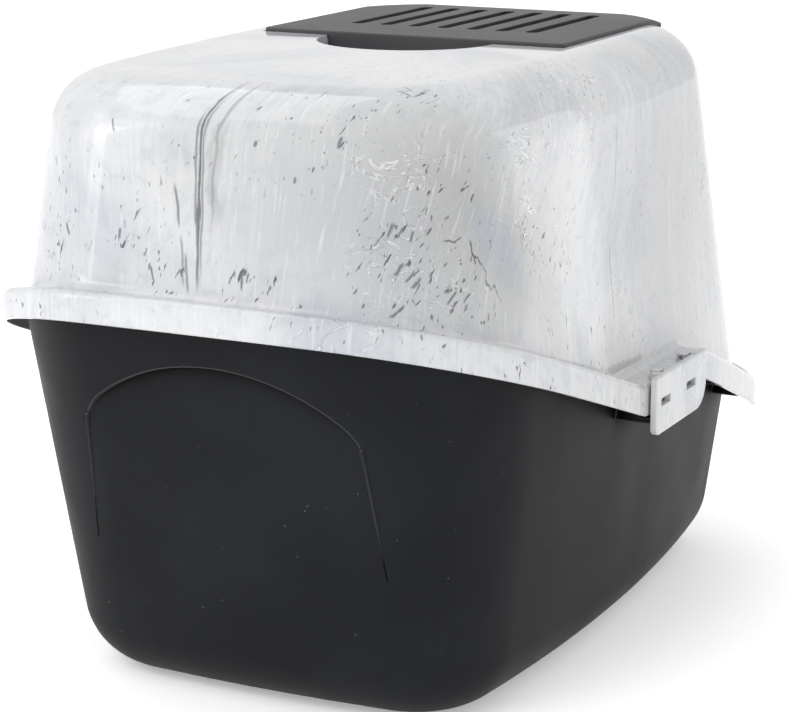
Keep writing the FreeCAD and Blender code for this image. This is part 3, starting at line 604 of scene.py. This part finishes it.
    def marks(self, sheet: NodeSheet, flow: Flow, billow: Socket) -> Socket:
        """Mask of all dark pigment: flecks, dashes and veins.

        Args:
            sheet: Material's nodes.
            flow: Places in the flow.
            billow: Large cloud noise.

        Returns:
            Mask between 0 and 1.
        """
        density = self.deepest(sheet, flow, self.crowds, billow)
        crowd = sheet.step(self.drawn(sheet, flow.vector, self.gathering), self.gathering_share)
        crowd = sheet.math("MAXIMUM", crowd, sheet.math("GREATER_THAN", density, self.crowd_least))
        side, rear, _ = sheet.split(flow.vector)
        slanted = sheet.join(sheet.math("MULTIPLY_ADD", flow.run, -self.slant, side), rear, flow.run)
        strokes = sheet.math("ADD", density, self.drawn(sheet, slanted, self.strokes))
        flecks = sheet.step(strokes, self.stroke_ramp.times(self.fleck))
        dashes = sheet.step(self.drawn(sheet, flow.vector, self.dashes), self.dash_ramp.times(self.fleck))
        marks = sheet.math("MULTIPLY", crowd, sheet.math("MAXIMUM", flecks, dashes))
        wander = self.drawn(sheet, flow.vector, self.wander)
        for line in self.veins:
            marks = sheet.math("MAXIMUM", marks, self.vein(sheet, flow, line, wander))
        return marks

    def material(self) -> bpy.types.Material:
        """Make the material.

        Returns:
            The new material.
        """
        sheet = NodeSheet(self.name)
        flow = self.flow(sheet)
        billow = self.drawn(sheet, flow.vector, self.billows)
        hair = self.drawn(sheet, flow.vector, self.hairs)
        tone = self.streak(sheet, flow, hair, self.tint(sheet, flow, billow))
        tone = self.lace(sheet, flow, billow, tone)
        tone = sheet.mix(self.marks(sheet, flow, billow), tone, opaque(self.pigment))
        sheet.finish(Base_Color=tone, Roughness=sheet.step(hair, self.roughness))
        sheet.bump(hair, self.relief)
        return sheet.material


@dataclass(frozen=True)
class MouldedPlastic(Finish):
    """Satin coloured plastic with a fine spark texture, a painted highlight along its corners, painted shade and less
    gloss in its creases, and a few specks of dust.
    """

    name: str
    colour: Triple
    mottle: Triple
    # Colour of the painted highlight along the corners
    painted_edge_highlight: Triple
    roughness: float
    specular: float
    # Width and ramp of the painted highlight along the corners
    edge_highlight_width: float = 0.0018
    edge_highlight_ramp: Ramp = Ramp(0.004, 0.09)
    # Painted shade: creases are darkened towards this colour, by how open the surface is
    painted_crease_shade: Triple = (0.001, 0.001, 0.001)
    crease: float = 0.02
    crease_open: Ramp = Ramp(0.5, 0.97)
    crease_shade_depth: float = 0.95
    clouds: Speckle = Speckle(14.0, 4.0, 0.4)
    cloud_tint: Ramp = Ramp(0.35, 0.7)
    dust: Triple = (0.3, 0.31, 0.32)
    dust_points: Speckle = Speckle(420.0, 1.0)
    dust_ramp: Ramp = Ramp(0.79, 0.82)
    specks: float = 0.0
    grain: Speckle = Speckle(2600.0)
    grain_share: float = 0.4
    rough_spread: Ramp = Ramp(0.4, 1.0, -0.05, 0.08)
    relief: Relief = Relief(0.35, 0.00006, 0.0012)

    def material(self) -> bpy.types.Material:
        """Make the material.

        Returns:
            The new material.
        """
        sheet = NodeSheet(self.name)
        place = sheet.place()
        clouds = sheet.noise(place, self.clouds)
        grain = sheet.noise(place, self.grain)
        dust = sheet.noise(place, self.dust_points)
        open_share = sheet.creases(self.crease)
        # Ramp of the painted shade in the creases
        painted_shade_ramp = Ramp(self.crease_open.low, self.crease_open.high, self.crease_shade_depth, 0.0)
        tone = sheet.mix(sheet.step(clouds, self.cloud_tint), opaque(self.colour), opaque(self.mottle))
        layers = (
            (sheet.step(dust, self.dust_ramp.times(self.specks)), self.dust),
            # Painted shade in the creases
            (sheet.step(open_share, painted_shade_ramp), self.painted_crease_shade),
            # Painted highlight: lighter where the surface turns at a corner
            (sheet.step(sheet.corners(self.edge_highlight_width), self.edge_highlight_ramp), self.painted_edge_highlight),
        )
        for mask, colour in layers:
            tone = sheet.mix(mask, tone, opaque(colour))
        uneven = sheet.math("ADD", clouds, sheet.math("MULTIPLY", grain, self.grain_share))
        rough = sheet.step(uneven, self.rough_spread.plus(self.roughness))
        gloss = sheet.step(open_share, self.crease_open.times(self.specular))
        sheet.finish(Base_Color=tone, Roughness=rough, Specular_IOR_Level=gloss)
        sheet.bump(grain, self.relief)
        return sheet.material


@dataclass(frozen=True)
class ClearPlastic(Finish):
    """See-through smoky plastic with faint flow lines and fine scratches."""

    name: str = "clear_smoke_plastic"
    colour: Triple = (0.30, 0.315, 0.33)
    cloud: Triple = (0.24, 0.25, 0.265)
    clouds: Speckle = Speckle(30.0, 3.0)
    cloud_tint: Ramp = Ramp(0.35, 0.7)
    cover: float = 0.42
    bending: float = 1.49
    scratches: Speckle = Speckle(1.0, 3.0)
    scratch_stretch: Triple = (900.0, 60.0, 25.0)
    roughness: Ramp = Ramp(0.55, 0.8, 0.05, 0.22)
    relief: Relief = Relief(0.02, 0.0001, 0.0004)

    def material(self) -> bpy.types.Material:
        """Make the material.

        Returns:
            The new material.
        """
        sheet = NodeSheet(self.name)
        place = sheet.place()
        scratches = sheet.noise(sheet.stretch(place, self.scratch_stretch), self.scratches)
        clouds = sheet.step(sheet.noise(place, self.clouds), self.cloud_tint)
        sheet.finish(Base_Color=sheet.mix(clouds, opaque(self.colour), opaque(self.cloud)),
                     Roughness=sheet.step(scratches, self.roughness), Alpha=self.cover, IOR=self.bending)
        sheet.bump(scratches, self.relief)
        return sheet.material


@dataclass(frozen=True)
class CarbonFelt(Finish):
    """Black needle felt filled with carbon dust."""

    name: str = "carbon_felt"
    dark: Triple = (0.005, 0.005, 0.006)
    pale: Triple = (0.02, 0.02, 0.022)
    fibres: Speckle = Speckle(700.0, 5.0, 1.8)
    tufts: Speckle = Speckle(110.0, 3.0, 0.5)
    tuft_share: float = 0.6
    fibre_tint: Ramp = Ramp(0.55, 1.1)
    roughness: Ramp = Ramp(0.3, 0.7, 0.86, 1.0)
    sheen: float = 0.08
    relief: Relief = Relief(0.8, 0.0012, 0.001)

    def material(self) -> bpy.types.Material:
        """Make the material.

        Returns:
            The new material.
        """
        sheet = NodeSheet(self.name)
        place = sheet.place()
        fibres = sheet.noise(place, self.fibres)
        tufts = sheet.noise(place, self.tufts)
        height = sheet.math("ADD", fibres, sheet.math("MULTIPLY", tufts, self.tuft_share))
        tone = sheet.mix(sheet.step(height, self.fibre_tint), opaque(self.dark), opaque(self.pale))
        sheet.finish(Base_Color=tone, Roughness=sheet.step(fibres, self.roughness), Sheen_Weight=self.sheen)
        sheet.bump(height, self.relief)
        return sheet.material


@dataclass(frozen=True)
class StudioPaper(Finish):
    """White paper that glows faintly, so that the floor stays white."""

    name: str = "studio_paper"
    colour: Triple = (0.93, 0.93, 0.93)
    pale: Triple = (0.95, 0.95, 0.95)
    glow_colour: Triple = (1.0, 1.0, 1.0)
    glow: float = 0.32
    fibres: Speckle = Speckle(30.0, 4.0)
    roughness: float = 0.85
    specular: float = 0.1

    def material(self) -> bpy.types.Material:
        """Make the material.

        Returns:
            The new material.
        """
        sheet = NodeSheet(self.name)
        tone = sheet.mix(sheet.noise(sheet.place(), self.fibres), opaque(self.colour), opaque(self.pale))
        sheet.finish(Base_Color=tone, Roughness=self.roughness, Specular_IOR_Level=self.specular,
                     Emission_Color=opaque(self.glow_colour), Emission_Strength=self.glow)
        return sheet.material


def dress(pieces: Sequence[bpy.types.Object], finish: Finish) -> None:
    """Give pieces one finish in all their slots.

    Args:
        pieces: Objects to dress.
        finish: Their finish.
    """
    material = finish.material()
    for piece in pieces:
        if not piece.material_slots:
            piece.data.materials.append(material)
        for slot in piece.material_slots:
            slot.material = material


@dataclass
class CadPart:
    """Sub-assembly whose CAD nodes are shown as they are."""

    nodes: tuple[str, ...]

    def dress(self, finish: Finish) -> None:
        """Dress the nodes."""
        dress([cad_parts[node] for node in self.nodes], finish)


@dataclass
class SideClips(CadPart):
    """Two clips that hold the hood down on the tray."""

    nodes: tuple[str, ...] = ("clip_left", "clip_right")


@dataclass
class SwingDoor(CadPart):
    """See-through flap in the entrance."""

    nodes: tuple[str, ...] = ("swing_door",)


@dataclass
class Shell:
    """Sub-assembly shown by a smooth joined copy of a CAD node, which rides on a CAD body."""

    node: str
    body: str
    slot: Slot
    crisp_angle: float = 30.0
    merge_distance: float = 1e-6
    pieces: list[bpy.types.Object] = field(default_factory=list)

    def build(self) -> None:
        """Build the pieces."""
        self.pieces = [self.skin()]

    def skin(self) -> bpy.types.Object:
        """Copy the CAD node into a joined mesh whose curved faces shade smoothly.

        Returns:
            The new piece.
        """
        bpy.ops.object.select_all(action="DESELECT")
        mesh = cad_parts[self.node].data.copy()
        piece = bpy.data.objects.new(self.node + "_skin", mesh)
        bpy.context.scene.collection.objects.link(piece)
        bpy.context.view_layer.objects.active = piece
        piece.select_set(True)
        if mesh.has_custom_normals:
            bpy.ops.mesh.customdata_custom_splitnormals_clear()
        bpy.ops.object.mode_set(mode="EDIT")
        bpy.ops.mesh.select_all(action="SELECT")
        bpy.ops.mesh.remove_doubles(threshold=self.merge_distance)
        bpy.ops.object.mode_set(mode="OBJECT")
        bpy.ops.object.shade_smooth_by_angle(angle=math.radians(self.crisp_angle))
        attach(piece, self.body)
        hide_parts(self.node)
        return piece

    def dress(self, finish: Finish) -> None:
        """Dress the pieces."""
        dress(self.pieces, finish)


@dataclass
class Hood(Shell):
    """Marbled hood with its skirt."""

    node: str = "hood"
    body: str = "hood"
    slot: Slot = Slot.MARBLE


@dataclass
class VentCover(Shell):
    """Slotted cover over the filter."""

    node: str = "vent_cover"
    body: str = "vent_cover"
    slot: Slot = Slot.VENT


@dataclass
class Tray(Shell):
    """Deep anthracite tray. The legs of the arch in its rear wall are moulded edges that fade out at the foot."""

    node: str = "tray"
    body: str = "tray"
    slot: Slot = Slot.ANTHRACITE
    leg_top: tuple[float, float] = (0.0916, 0.1822)
    leg_foot: tuple[float, float] = (0.0986, 0.0985)
    bead_radius: float = 0.0013
    bead_sides: int = 16
    bead_edge_steps: int = 2
    foot_share: float = 0.2
    ray_start: float = 1.0

    def build(self) -> None:
        """Build the smooth skin, and lay a bead down each leg of the arch."""
        super().build()
        self.pieces += [self.bead("arch_bead_left", -1.0), self.bead("arch_bead_right", 1.0)]

    def on_wall(self, x: float, z: float) -> Vector:
        """Point of the rear wall's outer face at a place across the tray and a height."""
        return self.pieces[0].ray_cast(Vector((x, self.ray_start, z)), Vector((0.0, -1.0, 0.0)))[1]

    def bead(self, name: str, side: float) -> bpy.types.Object:
        """Model one leg of the arch: a thin bead, half sunk in the wall, that tapers towards its foot.

        Args:
            name: Name of the piece.
            side: 1 for the leg at +X, -1 for the other.

        Returns:
            The new piece.
        """
        bpy.context.view_layer.update()
        top, foot = (self.on_wall(side * x, z) for x, z in (self.leg_top, self.leg_foot))
        way = foot - top
        turn = way.to_track_quat("Z", "Y").to_euler()
        bpy.ops.object.select_all(action="DESELECT")
        bpy.ops.mesh.primitive_cylinder_add(vertices=self.bead_sides, radius=self.bead_radius, depth=way.length,
                                            location=(top + foot) / 2, rotation=turn)
        piece = bpy.context.active_object
        piece.name = name
        bpy.ops.object.transform_apply(location=True, rotation=True, scale=True)
        bpy.ops.object.mode_set(mode="EDIT")
        bpy.ops.mesh.select_mode(type="VERT")
        bpy.ops.mesh.select_all(action="DESELECT")
        bpy.ops.object.mode_set(mode="OBJECT")
        for vertex in piece.data.vertices:
            vertex.select = (vertex.co - foot).length < (vertex.co - top).length
        bpy.ops.object.mode_set(mode="EDIT")
        bpy.ops.transform.resize(value=(self.foot_share,) * 3, center_override=foot)
        bpy.ops.mesh.select_all(action="SELECT")
        edge = self.bead_radius * self.foot_share / 2
        bpy.ops.mesh.bevel(offset=edge, segments=self.bead_edge_steps, affect="EDGES")
        bpy.ops.object.mode_set(mode="OBJECT")
        bpy.ops.object.shade_smooth_by_angle(angle=math.radians(self.crisp_angle))
        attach(piece, "tray")
        return piece


@dataclass
class CarbonFilter:
    """Felt pad in the well under the vent cover, softer than its CAD block."""

    inset: float = 0.0004
    edge: float = 0.0028
    edge_steps: int = 3
    cuts: int = 5
    lump: float = 0.0009
    lump_size: float = 0.022
    fill: float = 0.8
    piece: Optional[bpy.types.Object] = None

    def build(self) -> None:
        """Model the pad: a block with soft edges, divided and made slightly lumpy."""
        low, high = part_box("carbon_filter")
        size = high - low - Vector((self.inset,) * 3) * 2
        bpy.ops.object.select_all(action="DESELECT")
        bpy.ops.mesh.primitive_cube_add(size=1.0, location=(low + high) / 2, scale=size)
        self.piece = bpy.context.active_object
        self.piece.name = "filter_pad"
        bpy.ops.object.transform_apply(location=True, rotation=True, scale=True)
        bpy.ops.object.mode_set(mode="EDIT")
        bpy.ops.mesh.select_all(action="SELECT")
        bpy.ops.mesh.bevel(offset=self.edge, segments=self.edge_steps, affect="EDGES")
        bpy.ops.mesh.select_all(action="SELECT")
        bpy.ops.mesh.subdivide(number_cuts=self.cuts)
        bpy.ops.object.mode_set(mode="OBJECT")
        self.soften()
        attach(self.piece, "hood")
        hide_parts("carbon_filter")

    def soften(self) -> None:
        """Sink the pad's skin unevenly, as felt does, and round it off."""
        texture = bpy.data.textures.new("felt_lumps", "CLOUDS")
        texture.noise_scale = self.lump_size
        sink = self.piece.modifiers.new("lumps", "DISPLACE")
        sink.texture = texture
        sink.strength = self.lump
        sink.mid_level = 1.0
        bpy.ops.object.modifier_apply(modifier=sink.name)
        finer = self.piece.modifiers.new("finer", "SUBSURF")
        finer.levels = finer.render_levels = 1
        bpy.ops.object.modifier_apply(modifier=finer.name)
        bpy.ops.object.shade_smooth()

    def dress(self, finish: Finish) -> None:
        """Dress the pad."""
        dress([self.piece], finish)


class Reach(Enum):
    """What a studio light does to the object."""

    LIGHTS = "lights and is seen in glossy plastic"
    SOFTENS = "lights only"
    GLEAMS = "is seen in glossy plastic only"


@dataclass(frozen=True)
class SoftBox:
    """One soft studio light, aimed at a point."""

    name: str
    place: Triple
    aim: Triple
    size: tuple[float, float]
    power: float
    reach: Reach = Reach.LIGHTS

    def hang(self) -> None:
        """Hang the light in its place."""
        data = bpy.data.lights.new(self.name, "AREA")
        data.shape = "RECTANGLE"
        data.size, data.size_y = self.size
        data.energy = self.power
        lamp = bpy.data.objects.new(self.name, data)
        lamp.location = self.place
        lamp.visible_diffuse = self.reach is not Reach.GLEAMS
        lamp.visible_glossy = self.reach is not Reach.SOFTENS
        lamp.rotation_euler = (Vector(self.aim) - Vector(self.place)).to_track_quat("-Z", "Y").to_euler()
        bpy.context.scene.collection.objects.link(lamp)


@dataclass
class Studio:
    """Pale floor, soft light and the camera."""

    floor_reach: float = 40.0
    floor_gap: float = 0.0002
    floor_cuts: int = 3
    paper: StudioPaper = StudioPaper()
    air: Triple = (1.0, 1.0, 1.0)
    air_strength: float = 0.98
    lens: float = 114.15
    camera_place: Triple = (-0.7203, 1.4705, 0.5739)
    camera_turn: Triple = (76.249, 0.0, 206.23)
    lights: tuple[SoftBox, ...] = (
        SoftBox("key", (0.5, 2.4, 2.2), (0.0, 0.0, 0.1), (1.6, 1.2), 26.0, Reach.SOFTENS),
        SoftBox("left_fill", (1.6, 1.4, 1.0), (0.0, 0.1, 0.25), (0.9, 1.2), 3.5),
        SoftBox("left_gleam", (1.50, 1.60, 0.75), (0.06, 0.25, 0.33), (0.42, 1.0), 3.6, Reach.GLEAMS),
        SoftBox("round_gleam", (0.80, 0.20, 2.10), (-0.05, 0.24, 0.37), (2.2, 0.9), 9.0, Reach.GLEAMS),
        SoftBox("side_gleam", (-1.22, -1.52, 0.35), (-0.157, 0.12, 0.29), (0.36, 0.9), 1.0, Reach.GLEAMS),
    )

    def lay_floor(self) -> None:
        """Lay the floor, divided so that it shades evenly to its far edge."""
        bpy.ops.object.select_all(action="DESELECT")
        bpy.ops.mesh.primitive_plane_add(size=self.floor_reach, location=(0.0, 0.0, -self.floor_gap))
        floor = bpy.context.active_object
        floor.name = "studio_floor"
        bpy.ops.object.mode_set(mode="EDIT")
        bpy.ops.mesh.subdivide(number_cuts=self.floor_cuts)
        bpy.ops.object.mode_set(mode="OBJECT")
        dress([floor], self.paper)
        floor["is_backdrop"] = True

    def fill_air(self) -> None:
        """Light the scene evenly from all round."""
        world = bpy.data.worlds.new("studio_air")
        world.use_nodes = True
        background = world.node_tree.nodes["Background"]
        background.inputs["Color"].default_value = opaque(self.air)
        background.inputs["Strength"].default_value = self.air_strength
        bpy.context.scene.world = world

    def set_camera(self) -> None:
        """Stand the camera where the photograph was taken."""
        data = bpy.data.cameras.new("camera")
        data.lens = self.lens
        camera = bpy.data.objects.new("camera", data)
        camera.location = self.camera_place
        camera.rotation_euler = Euler([math.radians(angle) for angle in self.camera_turn])
        bpy.context.scene.collection.objects.link(camera)
        bpy.context.scene.camera = camera

    def build(self) -> None:
        """Set up floor, light and camera."""
        self.lay_floor()
        self.fill_air()
        for light in self.lights:
            light.hang()
        self.set_camera()
        bpy.context.scene.view_settings.view_transform = "Standard"


# Third colour of each moulded plastic: its painted highlight along the corners
ANTHRACITE = MouldedPlastic("anthracite_plastic", (0.0105, 0.0112, 0.0124), (0.0142, 0.0151, 0.0168),
                            (0.075, 0.077, 0.081), 0.46, 0.07, specks=0.3)
VENT_GREY = MouldedPlastic("vent_grey_plastic", (0.045, 0.046, 0.048), (0.06, 0.061, 0.063),
                           (0.075, 0.076, 0.078), 0.5, 0.35, edge_highlight_width=0.0006)
PLAIN_MARBLE = MarblePlastic("clip_white_plastic", fleck=0.12, crowds=(), laces=(), patches=(), veins=())


def main() -> None:
    """Build and dress every sub-assembly, then the studio."""
    logging.basicConfig(level=logging.INFO, format="%(message)s")
    hood, tray, cover, pad = Hood(), Tray(), VentCover(), CarbonFilter()
    for part in (hood, tray, cover, pad):
        part.build()
    hood.dress(MarblePlastic())
    SideClips().dress(PLAIN_MARBLE)
    tray.dress(ANTHRACITE)
    cover.dress(VENT_GREY)
    pad.dress(CarbonFelt())
    SwingDoor().dress(ClearPlastic())
    Studio().build()
    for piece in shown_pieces():
        log.info("piece %s: %d faces", piece.name, len(piece.data.polygons))


if __name__ == "__main__":
    main()
